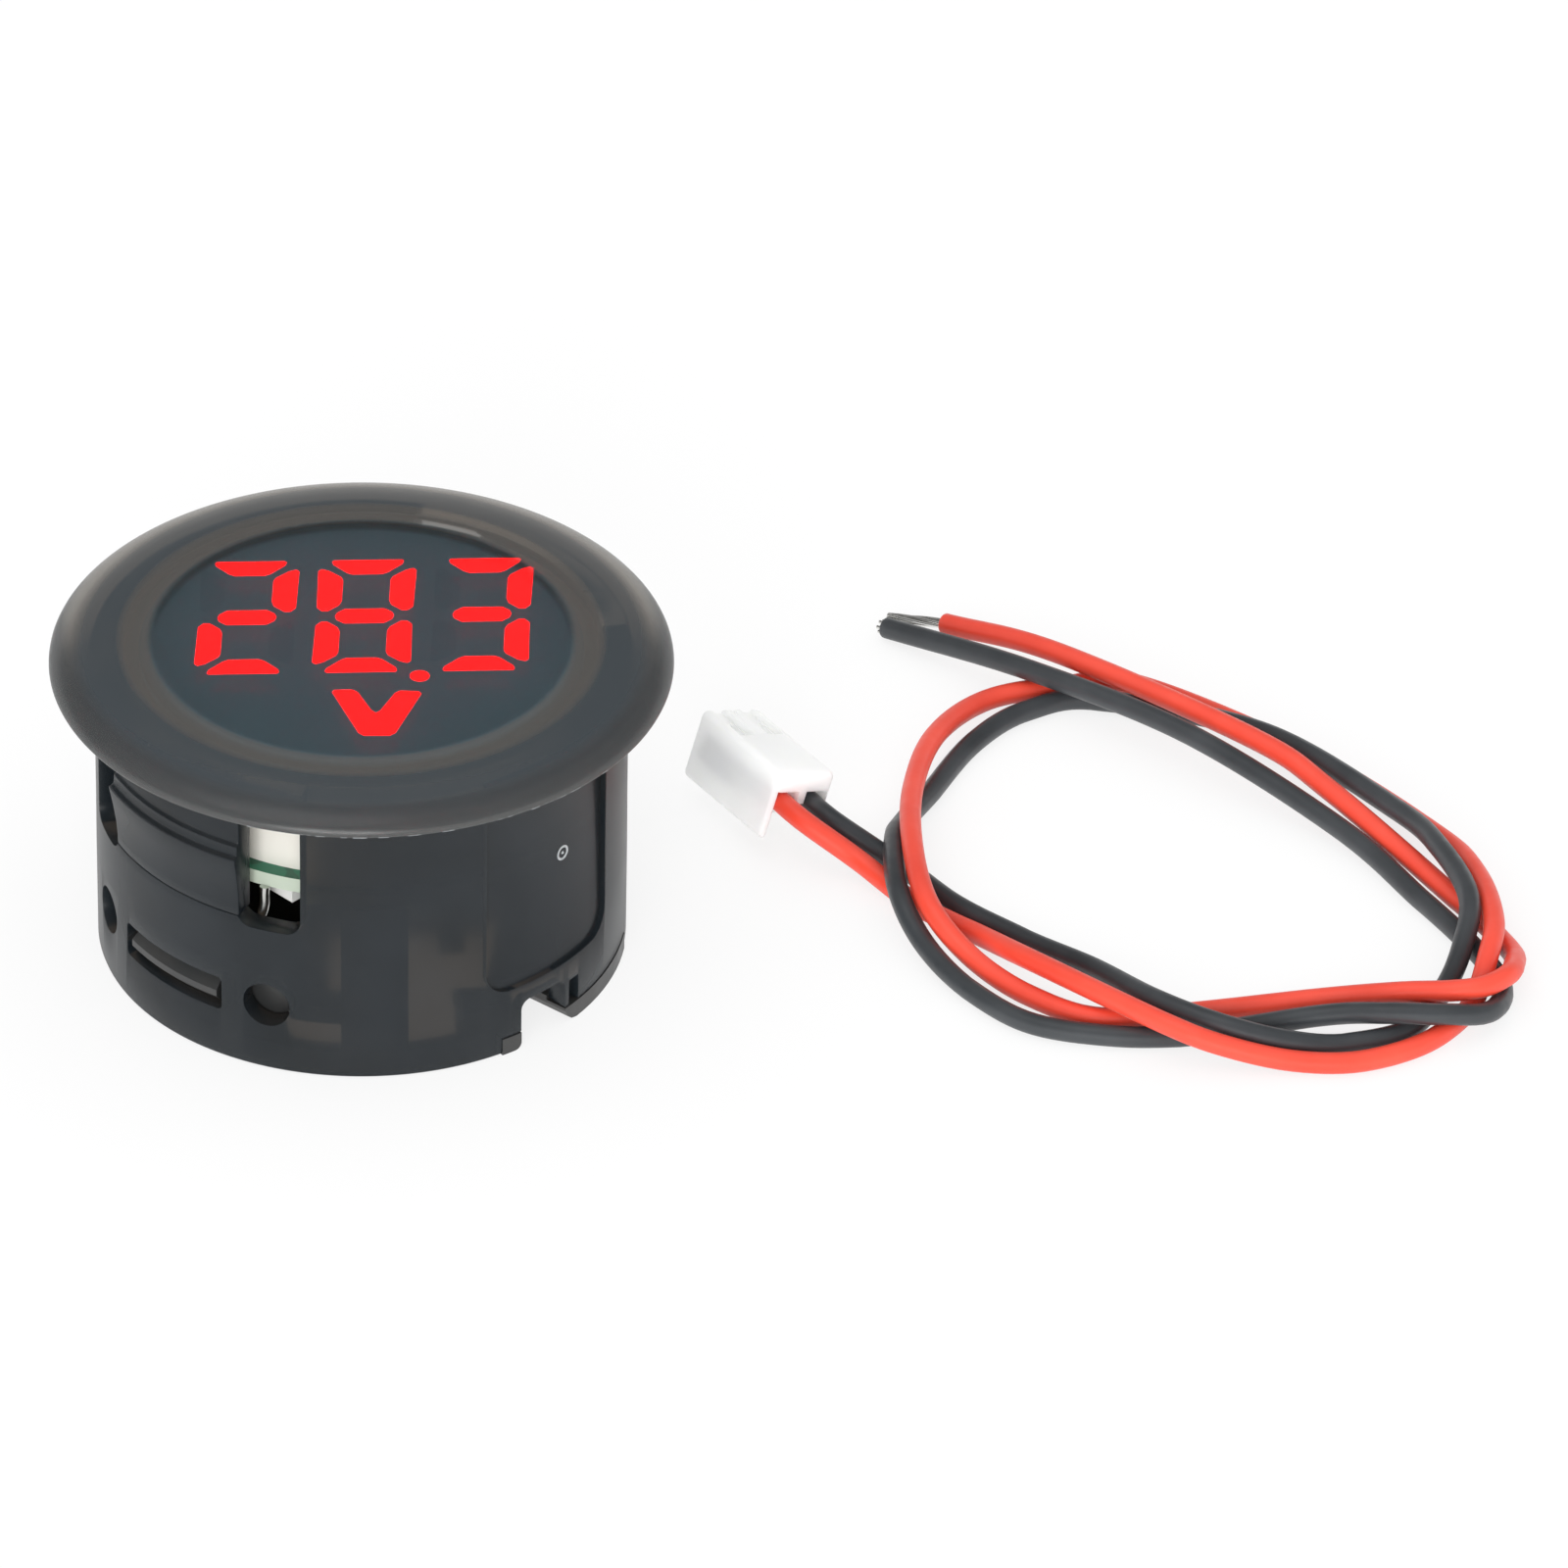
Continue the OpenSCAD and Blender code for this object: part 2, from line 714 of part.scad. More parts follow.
// folded contacts inside the plug, each with the barrel that grips its wire
module crimp_terminals() {
    back = -plug_l / 2 + wire_start;
    color(brass)
        on_table()
            for (x = [-contact_pitch / 2, contact_pitch / 2])
                translate([x, back, contact_z]) {
                    difference() {
                        translate([-0.65, 2.2, -0.7])
                            cube([1.3, 2.8, 1.4]);
                        translate([-0.42, 2.8, -0.42])
                            cube([0.84, 3, 0.84]);
                    }
                    translate([-0.5, 0, -0.5])
                        cube([1, 2.3, 1]);
                }
}

// rings round a wire's route; the first and last lie across its ends
function unit(v) = v / norm(v);
function heading(p, i) = unit(p[min(i + 1, len(p) - 1)] - p[max(i - 1, 0)]);
function ring(p, i, r) =
    let (t = heading(p, i), side = unit(cross([0, 0, 1], t)), up = cross(t, side))
        [for (k = [0:wire_sides - 1])
            let (a = 360 * (k + 0.5) / wire_sides)
                p[i] + r * (cos(a) * side + sin(a) * up)];
function ring_faces(count) =
    [for (i = [0:count - 2], k = [0:wire_sides - 1])
        let (n = (k + 1) % wire_sides, a = i * wire_sides)
            [a + k, a + n, a + n + wire_sides, a + k + wire_sides]];

module wire(route, r) {
    count = len(route);
    last = (count - 1) * wire_sides;
    polyhedron(
        points = [for (i = [0:count - 1]) each ring(route, i, r)],
        faces = concat([[for (k = [0:wire_sides - 1]) wire_sides - 1 - k]],
            ring_faces(count),
            [[for (k = [0:wire_sides - 1]) last + k]]));
}

module red_wire() {
    color([0.93, 0.30, 0.27])
        wire(red_route, wire_r);
}

module black_wire() {
    color([0.18, 0.19, 0.20])
        wire(black_route, wire_r);
}

// bare tinned strands at the free ends
module red_strands() {
    last = red_route[len(red_route) - 1];
    color(tin)
        wire([last, (last * 2 + red_strand_tip) / 3, red_strand_tip], strand_r);
}

module black_strands() {
    last = black_route[len(black_route) - 1];
    before = black_route[len(black_route) - 2];
    color(tin)
        wire([last, last + 0.4 * unit(last - before)], strand_r);
}

front_housing();
snap_clip_front();
snap_clip_back();
rear_cover();
display_reflector();
display_mask();
lit_segments();
unlit_segments();
decimal_point();
volt_icon();
display_pins();
circuit_board();
solder_joints();
controller_chip();
chip_legs();
regulator();
protection_diode();
resistors();
capacitors();
chip_fuse();
header_housing();
header_pins();
plug_housing();
crimp_terminals();
red_wire();
black_wire();
red_strands();
black_strands();
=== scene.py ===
import random
from math import asin, cos, pi, radians, sin, tan

import bmesh
import bpy
from mathutils import Matrix, Vector
from mathutils.bvhtree import BVHTree


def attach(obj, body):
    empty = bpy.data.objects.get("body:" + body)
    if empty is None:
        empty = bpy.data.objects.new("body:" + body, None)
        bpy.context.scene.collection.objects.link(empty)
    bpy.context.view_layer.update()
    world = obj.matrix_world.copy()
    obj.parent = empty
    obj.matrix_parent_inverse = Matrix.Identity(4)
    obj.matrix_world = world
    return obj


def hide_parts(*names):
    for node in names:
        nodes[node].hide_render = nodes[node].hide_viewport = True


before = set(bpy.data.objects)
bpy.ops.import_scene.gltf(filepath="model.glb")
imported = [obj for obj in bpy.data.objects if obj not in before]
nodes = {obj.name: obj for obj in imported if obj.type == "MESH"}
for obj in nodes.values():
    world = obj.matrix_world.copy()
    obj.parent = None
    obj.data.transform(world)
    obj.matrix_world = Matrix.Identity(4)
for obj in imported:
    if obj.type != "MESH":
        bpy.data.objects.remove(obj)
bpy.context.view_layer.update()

MM = 0.001
POLYCARBONATE_IOR = 1.58
scene = bpy.context.scene
scene.view_settings.view_transform = "Standard"
marks = random.Random(7)  # the moulding marks and the strands' ends fall the same way each run

# ------------------------------------------------------------------ camera
# fitted to the photograph: the flange's ellipse gives the elevation
AIM = Vector((0.02304, 0.0, 0.00976))
CAMERA_DISTANCE = 1.2
CAMERA_ELEVATION = 34.289
CAMERA_ROLL = 0.599
LENS, SENSOR = 504.9, 36.0
SHIFT_X, SHIFT_Y = 0.0, 0.0

backwards = Vector((0, -cos(radians(CAMERA_ELEVATION)), sin(radians(CAMERA_ELEVATION))))
lens_data = bpy.data.cameras.new("camera")
lens_data.lens, lens_data.sensor_width, lens_data.sensor_fit = LENS, SENSOR, "AUTO"
lens_data.shift_x, lens_data.shift_y = SHIFT_X, SHIFT_Y
lens_data.clip_start, lens_data.clip_end = 0.05, 20
camera = bpy.data.objects.new("camera", lens_data)
scene.collection.objects.link(camera)
facing = (-backwards).to_track_quat("-Z", "Y").to_matrix()
facing = facing @ Matrix.Rotation(radians(CAMERA_ROLL), 3, "Z")
camera.matrix_world = (Matrix.Translation(AIM + backwards * CAMERA_DISTANCE)
                       @ facing.to_4x4())
scene.camera = camera

# ------------------------------------------------------------------ image points
# places in the photograph's frame scaled to 1568 px. They are measured in the photograph, but
# for the meter's top, the two holes, the lug's window and the notch's roof: those five stand
# where the model shows them, 5 to 11 px from their photographed places
W = H = 1568
POINTS = {
    "meter_left": (48, None), "meter_right": (675, None),
    "meter_top": (None, 482.4), "meter_bottom": (None, 1079),
    "figures_left": (192.5, None), "figures_right": (532.5, None),
    "figures_top": (None, 558.5), "decimal_point": (419.5, 676.5),
    "volt_sign": (376.5, 712.5), "gate_mark": (562.5, 852.5),
    "front_hole": (265.9, 1005.2), "left_hole": (108.5, 909.5),
    "lug_window": (174.3, 965.5), "notch_roof": (544.9, 990.7),
    "red_insulation_end": (943.7, 623.3), "black_insulation_end": (884.9, 627.2),
    "lead_right": (1522, None), "lead_bottom": (None, 1075)}


def ray_from_camera(x, y):
    """Start and direction of the line of sight through an image point."""
    long_side = max(W, H)
    sight = Vector((x - W / 2 + SHIFT_X * long_side, H / 2 - y + SHIFT_Y * long_side,
                    -long_side * LENS / SENSOR))
    return (camera.matrix_world.translation.copy(),
            (camera.matrix_world.to_3x3() @ sight).normalized())


def place_on(carrier, name):
    """Point and normal where a named image point falls on a finished piece."""
    start, way = ray_from_camera(*POINTS[name])
    bm = bmesh.new()
    bm.from_mesh(carrier.data)
    surface = BVHTree.FromBMesh(bm)
    bm.free()
    hit, normal = surface.ray_cast(start, way)[:2]
    if hit is None:
        # the line of sight misses, so it settles on the place that it passes nearest
        near = start + way * CAMERA_DISTANCE
        for _ in range(8):
            hit, normal = surface.find_nearest(near)[:2]
            near = start + way * (hit - start).dot(way)
    return hit, normal


# ------------------------------------------------------------------ making pieces
def as_object(name, bm):
    """Makes an object of a bmesh as it is."""
    mesh = bpy.data.meshes.new(name)
    bm.to_mesh(mesh)
    bm.free()
    ob = bpy.data.objects.new(name, mesh)
    scene.collection.objects.link(ob)
    return ob


def finish_piece(name, bm, sharp=32):
    """Makes an object of a bmesh: merged, closed, smooth but for edges over an angle."""
    bmesh.ops.remove_doubles(bm, verts=bm.verts, dist=1e-7)
    bmesh.ops.dissolve_degenerate(bm, edges=bm.edges, dist=1e-8)
    bmesh.ops.holes_fill(bm, edges=[e for e in bm.edges if e.is_boundary], sides=0)
    bmesh.ops.recalc_face_normals(bm, faces=bm.faces)
    ob = as_object(name, bm)
    shade(ob, sharp)
    return ob


def shade(ob, sharp):
    """Smooth shading, kept crisp at edges over an angle."""
    bm = bmesh.new()
    bm.from_mesh(ob.data)
    for f in bm.faces:
        f.smooth = True
    for e in bm.edges:
        e.smooth = e.is_manifold and e.calc_face_angle(0) < radians(sharp)
    bm.to_mesh(ob.data)
    bm.free()


def outline_edges(bm, outline, place):
    """A closed loop of edges through the points that place() gives for an outline in mm."""
    corners = [bm.verts.new(place(*p)) for p in outline]
    return [bm.edges.new((a, b)) for a, b in zip(corners, corners[1:] + corners[:1])]


def turned(name, outline, steps, span=(0, 360), sharp=32):
    """Spins a closed outline of (radius, height) in mm about the barrel's axis."""
    az = radians(span[0])
    bm = bmesh.new()
    edges = outline_edges(bm, outline,
                          lambda r, z: (r * sin(az) * MM, -r * cos(az) * MM, z * MM))
    bmesh.ops.spin(bm, geom=bm.verts[:] + edges, cent=(0, 0, 0), axis=(0, 0, 1),
                   angle=radians(span[1] - span[0]), steps=steps,
                   use_merge=span[1] - span[0] == 360, use_duplicate=False)
    return finish_piece(name, bm, sharp)


def pushed(name, outline, low, high, place=Matrix.Identity(4), sharp=32):
    """Extrudes an outline in mm from one height to another, then puts it in its place."""
    bm = bmesh.new()
    edges = outline_edges(bm, outline, lambda x, y: (x * MM, y * MM, low * MM))
    face = bm.faces.new([e.verts[0] for e in edges])
    grown = bmesh.ops.extrude_face_region(bm, geom=[face])["geom"]
    bmesh.ops.translate(bm, vec=(0, 0, (high - low) * MM),
                        verts=[v for v in grown if isinstance(v, bmesh.types.BMVert)])
    bmesh.ops.transform(bm, matrix=place, verts=bm.verts)
    return finish_piece(name, bm, sharp)


def drawn(name, path, radius, sides=16):
    """Draws a round section along a path in mm without a twist, and closes its ends."""
    ahead = [(path[min(i + 1, len(path) - 1)] - path[max(i - 1, 0)]).normalized()
             for i in range(len(path))]
    side = ahead[0].orthogonal().normalized()
    bm = bmesh.new()
    ring = bmesh.ops.create_circle(bm, cap_ends=False, segments=sides, radius=radius * MM)["verts"]
    edges, before = bm.edges[:], Matrix.Identity(4)
    for i, point in enumerate(path):
        side = (side - ahead[i] * side.dot(ahead[i])).normalized()
        here = Matrix((side, ahead[i].cross(side), ahead[i])).transposed().to_4x4()
        here.translation = point * MM
        if i:
            grown = bmesh.ops.extrude_edge_only(bm, edges=edges)["geom"]
            ring = [v for v in grown if isinstance(v, bmesh.types.BMVert)]
            edges = [e for e in grown if isinstance(e, bmesh.types.BMEdge)
                     and e.verts[0] in ring and e.verts[1] in ring]
        bmesh.ops.transform(bm, matrix=here @ before.inverted(), verts=ring)
        before = here
    return finish_piece(name, bm, 40)


def rounded(width, z, foot=0.0, head=0.0, n=6):
    """Outline of an opening: width, (low, high), and the radii of its lower and upper corners."""
    out = []
    for x, y, r, start in ((-width / 2, z[0], foot, 180), (width / 2, z[0], foot, 270),
                           (width / 2, z[1], head, 0), (-width / 2, z[1], head, 90)):
        cx, cy = x + (r if x < 0 else -r), y + (r if y == z[0] else -r)
        out += [(cx + r * cos(radians(start + 90 * i / n)), cy + r * sin(radians(start + 90 * i / n)))
                for i in range(n + 1 if r > 0 else 1)]
    return out


def circle(radius, centre=(0, 0), n=36):
    """Outline of a round hole or bar."""
    return [(centre[0] + radius * cos(2 * pi * i / n), centre[1] + radius * sin(2 * pi * i / n))
            for i in range(n)]


def outwards(az):
    """Frame whose z points out of the barrel at an azimuth, with x along the wall and y up."""
    a = radians(az)
    return Matrix(((cos(a), 0, sin(a), 0), (sin(a), 0, -cos(a), 0), (0, 1, 0, 0), (0, 0, 0, 1)))


def settle(ob):
    """Takes an object's modifiers into its mesh."""
    bpy.context.view_layer.update()
    done = ob.evaluated_get(bpy.context.evaluated_depsgraph_get())
    old, ob.data = ob.data, bpy.data.meshes.new_from_object(done)
    ob.modifiers.clear()
    bpy.data.meshes.remove(old)


def carve(ob, cutters):
    """Cuts the cutters out of an object and takes them away."""
    for cutter in cutters:
        m = ob.modifiers.new("cut", "BOOLEAN")
        m.operation, m.object, m.solver = "DIFFERENCE", cutter, "EXACT"
    settle(ob)
    for cutter in cutters:
        bpy.data.objects.remove(cutter)


def break_edges(ob, width, segments=2, limit=35, sharp=30):
    """Rounds an object's edges over an angle by a width in mm."""
    m = ob.modifiers.new("bevel", "BEVEL")
    m.width, m.segments, m.limit_method = width * MM, segments, "ANGLE"
    m.angle_limit, m.miter_outer = radians(limit), "MITER_ARC"
    settle(ob)
    shade(ob, sharp)


# ------------------------------------------------------------------ materials
# smoked plastic: the colour that light takes on through the wall, the rim and the window, and
# the haze of its pigment on the walls, with the haze's share of what the eye sees
WALL_TINT, RIM_TINT, WINDOW_TINT = "b7a38e", "c6beb2", "ced4d8"
HAZE_DARK, HAZE_LIGHT, WALL_HAZE = "191f23", "23292e", 0.7
# its face from the middle out: radius in mm, haze and the haze's share; this haze is painted light and
# shade: lighter over the display's rim and at the thin edge, a painted dark band over the flange's
# root
PAINTED_FACE_RINGS = [(11.3, "587078", 0.03), (11.7, "6a6865", 0.45), (12.9, "6a6865", 0.45),
        (13.4, "454c51", 0.7), (15.2, "454c51", 0.7), (15.9, "525659", 0.4),
        (17.0, "5a5d5e", 0.4)]
FACE_R = PAINTED_FACE_RINGS[-1][0]
# where one part of it gives way to the next, in mm: the window's edge and the flange's thin
# edge by radius, the face's foot by height
WINDOW_EDGE, THIN_EDGE, FACE_FOOT = (11.8, 13.2), (15.0, 16.2), (17.2, 17.5)
POLISHED, SATIN = 0.07, (0.20, 0.27)


def srgb(code):
    """Linear colour of an sRGB hex value."""
    parts = [int(code[i:i + 2], 16) / 255 for i in (0, 2, 4)]
    return tuple(c / 12.92 if c <= 0.04045 else ((c + 0.055) / 1.055) ** 2.4 for c in parts) + (1,)


def node(tree, kind, inputs=(), **settings):
    """Adds a node with its settings, and gives each input its value or its link."""
    n = tree.nodes.new("ShaderNode" + kind)
    for key, value in settings.items():
        setattr(n, key, value)
    for key, value in dict(inputs).items():
        if isinstance(value, bpy.types.NodeSocket):
            tree.links.new(value, n.inputs[key])
        else:
            n.inputs[key].default_value = value
    return n


def new_tree(name, store=None):
    """An empty node tree of a new material, or of a new world."""
    owner = (bpy.data.materials if store is None else store).new(name)
    owner.use_nodes = True
    owner.node_tree.nodes.clear()
    return owner, owner.node_tree


def uneven(tree, size_mm, low, high, detail=2.0, span=(0.3, 0.7)):
    """A value that drifts between low and high over patches of a size."""
    where = node(tree, "TexCoord").outputs["Object"]
    cloud = node(tree, "TexNoise", {"Vector": where, "Scale": 1 / (size_mm * MM),
                                    "Detail": detail})
    return node(tree, "MapRange", {"Value": cloud.outputs[0], "From Min": span[0],
                                   "From Max": span[1], "To Min": low, "To Max": high}).outputs[0]


def grain(tree, size_mm, height_mm, detail=2.0):
    """Bumps of a size and height on the surface."""
    return node(tree, "Bump", {"Height": uneven(tree, size_mm, 0, 1, detail, (0, 1)),
                               "Distance": height_mm * MM, "Strength": 1.0}).outputs[0]


def moulded(name, dark, light, rough, ior, patch=4.0, skin=0.4, depth=0.004, scatter=0.0):
    """Opaque moulded resin: two near shades over patches, gloss that drifts, a mould's skin."""
    owner, t = new_tree(name)
    shade_ = node(t, "Mix", {0: uneven(t, patch, 0, 1), 6: srgb(dark), 7: srgb(light)},
                  data_type="RGBA").outputs[2]
    body = node(t, "BsdfPrincipled", {"Base Color": shade_, "IOR": ior,
                                      "Roughness": uneven(t, 1.2, rough * 0.88, rough * 1.12),
                                      "Normal": grain(t, skin, depth, 3)})
    if scatter:
        body.inputs["Subsurface Weight"].default_value = scatter
        body.inputs["Subsurface Radius"].default_value = (1.2 * MM, 1.2 * MM, 1.1 * MM)
        body.inputs["Subsurface Scale"].default_value = 1.0
    node(t, "OutputMaterial", {"Surface": body.outputs[0]})
    return owner


def plated(name, dark, light, rough, skin=0.25, depth=0.003):
    """Bare metal plate: a brighter and a duller shade, and fine rolling or drawing marks."""
    owner, t = new_tree(name)
    shade_ = node(t, "Mix", {0: uneven(t, 0.8, 0, 1, 3), 6: srgb(dark), 7: srgb(light)},
                  data_type="RGBA").outputs[2]
    body = node(t, "BsdfPrincipled", {"Base Color": shade_, "Metallic": 1.0,
                                      "Roughness": uneven(t, 0.4, rough * 0.7, rough * 1.4),
                                      "Normal": grain(t, skin, depth, 3)})
    node(t, "OutputMaterial", {"Surface": body.outputs[0]})
    return owner


def smoked_polycarbonate():
    """Injection-moulded smoke-grey polycarbonate, polished over the window and satin on the walls: the
    eye sees pale parts through it softly, and thick parts nearly black.
    On the face its haze is painted by radius: painted light over the display's rim and the thin edge,
    painted shade over the flange's root."""
    owner, t = new_tree("smoked_polycarbonate_moulded")
    where = node(t, "TexCoord").outputs["Object"]
    axes = node(t, "SeparateXYZ", {0: where}).outputs
    level = node(t, "CombineXYZ", {0: axes[0], 1: axes[1]}).outputs[0]
    radius = node(t, "VectorMath", {0: level}, operation="LENGTH").outputs["Value"]
    middle_part = node(t, "MapRange", {"Value": radius, "From Min": WINDOW_EDGE[0] * MM,
                                       "From Max": WINDOW_EDGE[1] * MM,
                                       "To Min": 1.0, "To Max": 0.0}).outputs[0]
    on_face = node(t, "MapRange", {"Value": axes[2], "From Min": FACE_FOOT[0] * MM,
                                   "From Max": FACE_FOOT[1] * MM}).outputs[0]
    window = node(t, "Math", {0: middle_part, 1: on_face}, operation="MULTIPLY").outputs[0]
    thin_rim = node(t, "MapRange", {"Value": radius, "From Min": THIN_EDGE[0] * MM,
                                    "From Max": THIN_EDGE[1] * MM}).outputs[0]
    # the wall passes brown light, the window a neutral one
    through_wall = node(t, "Mix", {0: thin_rim, 6: srgb(WALL_TINT), 7: srgb(RIM_TINT)},
                        data_type="RGBA").outputs[2]
    tint = node(t, "Mix", {0: window, 6: through_wall, 7: srgb(WINDOW_TINT)},
                data_type="RGBA").outputs[2]
    gloss = node(t, "Mix", {0: window, 2: uneven(t, 1.5, *SATIN), 3: POLISHED}).outputs[0]
    # the tool's slow waves, drawn at 3 mm and 12 microns
    skin = grain(t, 3.0, 0.012)
    clear = node(t, "BsdfPrincipled", {"Base Color": tint, "Roughness": gloss,
                                       "IOR": POLYCARBONATE_IOR, "Transmission Weight": 1.0,
                                       "Normal": skin})
    # fine pigment scatters a little blue-grey light back
    haze = node(t, "Mix", {0: uneven(t, 6.0, 0, 1), 6: srgb(HAZE_DARK), 7: srgb(HAZE_LIGHT)},
                data_type="RGBA").outputs[2]
    # the face in steps of radius: window, ring over the display's rim, root of the flange, edge;
    # painted light in the ring and at the edge, painted shade over the root
    along = node(t, "MapRange", {"Value": radius, "From Max": FACE_R * MM}).outputs[0]
    painted_rings = node(t, "ValToRGB", {0: along})
    steps = painted_rings.color_ramp.elements
    steps.remove(steps[0])
    steps[0].position, steps[0].color = 1.0, srgb(PAINTED_FACE_RINGS[-1][1])[:3] + (PAINTED_FACE_RINGS[-1][2],)
    for r, code, part in PAINTED_FACE_RINGS[:-1]:
        steps.new(r / FACE_R).color = srgb(code)[:3] + (part,)
    haze = node(t, "Mix", {0: on_face, 6: haze, 7: painted_rings.outputs[0]}, data_type="RGBA").outputs[2]
    # the haze lies under the skin, so it adds little shine of its own
    cloudy = node(t, "BsdfPrincipled", {"Base Color": haze, "Roughness": 0.42,
                                        "IOR": POLYCARBONATE_IOR, "Specular IOR Level": 0.12,
                                        "Normal": skin})
    share = node(t, "Mix", {0: on_face, 2: WALL_HAZE, 3: painted_rings.outputs[1]}).outputs[0]
    both = node(t, "MixShader", {0: share, 1: clear.outputs[0], 2: cloudy.outputs[0]})
    node(t, "OutputMaterial", {"Surface": both.outputs[0]})
    return owner


def glowing_resin():
    """Red diffused epoxy over lit chips: an even, saturated red with no highlight."""
    owner, t = new_tree("red_epoxy_lit")
    red = node(t, "Mix", {0: uneven(t, 2.5, 0, 1), 6: srgb("ff0000"), 7: srgb("f60000")},
               data_type="RGBA").outputs[2]
    body = node(t, "BsdfPrincipled", {"Base Color": srgb("200000"), "Roughness": 0.7,
                                      "Specular IOR Level": 0.0, "Emission Color": red,
                                      "Emission Strength": 6.0})
    node(t, "OutputMaterial", {"Surface": body.outputs[0]})
    return owner


def solder_masked_laminate():
    """Glass-fibre laminate: a glossy green mask on its faces, bare pale weave at its edges."""
    owner, t = new_tree("fr4_laminate_solder_mask")
    facing_ = node(t, "TexCoord").outputs["Normal"]
    up = node(t, "SeparateXYZ", {0: facing_}).outputs[2]
    steep = node(t, "Math", {0: up}, operation="ABSOLUTE").outputs[0]
    face = node(t, "MapRange", {"Value": steep, "From Min": 0.4, "From Max": 0.6}).outputs[0]
    # copper lies under the mask in paler tracks about half a millimetre wide
    tracks = uneven(t, 1.1, 0, 1, 0, (0.48, 0.52))
    green = node(t, "Mix", {0: tracks, 6: srgb("0d5a40"), 7: srgb("157454")},
                 data_type="RGBA").outputs[2]
    shade_ = node(t, "Mix", {0: face, 6: srgb("b9c4b4"), 7: green}, data_type="RGBA").outputs[2]
    gloss = node(t, "Mix", {0: face, 2: 0.7, 3: 0.3}).outputs[0]
    body = node(t, "BsdfPrincipled", {"Base Color": shade_, "Roughness": gloss, "IOR": 1.52,
                                      "Normal": grain(t, 0.15, 0.004, 3)})
    node(t, "OutputMaterial", {"Surface": body.outputs[0]})
    return owner


def soft_pvc(name, dark, light, rough):
    """Extruded soft PVC: waxy, with shallow waves left by the strands under it."""
    owner, t = new_tree(name)
    shade_ = node(t, "Mix", {0: uneven(t, 5.0, 0, 1, 3), 6: srgb(dark), 7: srgb(light)},
                  data_type="RGBA").outputs[2]
    body = node(t, "BsdfPrincipled", {"Base Color": shade_, "IOR": 1.53,
                                      "Roughness": uneven(t, 0.8, rough * 0.85, rough * 1.15),
                                      "Normal": grain(t, 1.6, 0.03)})
    node(t, "OutputMaterial", {"Surface": body.outputs[0]})
    return owner


smoked = smoked_polycarbonate()
# the same smoke-grey resin seen without light behind it: nearly black, with a dull shine
cover_smoke = moulded("smoked_polycarbonate_thick", "282a2b", "333231", 0.4, POLYCARBONATE_IOR)
# resin filled with white pigment, so that no light crosses between figures: a warm matt white
white_abs = moulded("white_filled_abs_moulded", "e2dfd6", "ebe8e0", 0.5, 1.54)
# matt polyester film over the display, and clear-grey epoxy in the figures that aren't lit: both
# without shine. Their grey-blue is lighter
# than film and epoxy are: a painted sheen, in place of the white that the grey card keeps the window
# from mirroring, so the window looks even around the reading
mask_film_painted_sheen = moulded("matt_polyester_film", "a8cdd9", "b0d4e0", 0.8, 1.6, patch=8)
unlit_epoxy_painted_sheen = moulded("smoked_epoxy_cast", "a2c6d2", "aacdd9", 0.8, 1.5, patch=8)
red_epoxy = glowing_resin()
laminate = solder_masked_laminate()
# natural nylon lets light in a little way, which whitens its shaded sides
nylon = moulded("natural_nylon_moulded", "f8fbf7", "fdfefc", 0.42, 1.53, scatter=0.7)
# the board's parts: matt black compound, glossy black glaze, brown and white ceramics
mould_compound = moulded("epoxy_mould_compound", "232427", "2b2c2f", 0.6, 1.55, skin=0.1)
resistor_glaze = moulded("black_glaze_on_alumina", "1c1d20", "26272a", 0.28, 1.52)
capacitor_ceramic = moulded("barium_titanate_ceramic", "9c7a52", "b08e63", 0.5, 1.7, patch=1)
fuse_ceramic = moulded("white_alumina_ceramic", "ecece8", "f5f5f2", 0.4, 1.7)
# plated metals: bright tin on pins and strands, rippled solder, and warmer brass
bright_tin = plated("bright_tin_plate", "c4c4c0", "e4e4e2", 0.18)
solder = plated("reflowed_solder", "b9babb", "d6d7d8", 0.2, 0.5, 0.006)
tinned_brass = plated("tin_flashed_brass", "c7b88c", "dcd2b2", 0.28)
tinned_copper = plated("tinned_copper_strand", "d9d8d4", "f2f1ee", 0.3)
# soft PVC on the two wires: a waxy shine, broad along the top of each wire
red_pvc = soft_pvc("red_pvc_extruded", "e24431", "f04f3b", 0.40)
black_pvc = soft_pvc("black_pvc_extruded", "313437", "404346", 0.38)
# torn or rubbed polycarbonate whitens: pale grey specks. On the seam's flash the pale grey is also a
# painted highlight of the flange's lower edge
scuffed_and_highlit = moulded("scuffed_polycarbonate", "8f9396", "b9bcbe", 0.5, POLYCARBONATE_IOR, patch=0.2)


def dress(ob, material):
    """Gives a piece, or every slot of a CAD node, one material."""
    if ob.material_slots:
        for slot in ob.material_slots:
            slot.material = material
    else:
        ob.data.materials.append(material)


for names, material in (
        ("front_housing snap_clip_front snap_clip_back", smoked), ("rear_cover", cover_smoke),
        ("display_reflector", white_abs), ("display_mask", mask_film_painted_sheen),
        ("lit_segments decimal_point volt_icon", red_epoxy), ("unlit_segments", unlit_epoxy_painted_sheen),
        ("display_pins chip_legs header_pins", bright_tin), ("solder_joints", solder),
        ("circuit_board", laminate), ("resistors", resistor_glaze),
        ("controller_chip regulator protection_diode", mould_compound),
        ("capacitors", capacitor_ceramic), ("chip_fuse", fuse_ceramic),
        ("header_housing plug_housing", nylon), ("crimp_terminals", tinned_brass),
        ("red_strands black_strands", tinned_copper)):
    for name in names.split():
        dress(nodes[name], material)


def hand_over(ob, body, slot, material, *stands_for):
    """Says what a piece is made of, which body carries it and which CAD nodes it replaces."""
    dress(ob, material)
    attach(ob, body)
    if stands_for:
        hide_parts(*stands_for)


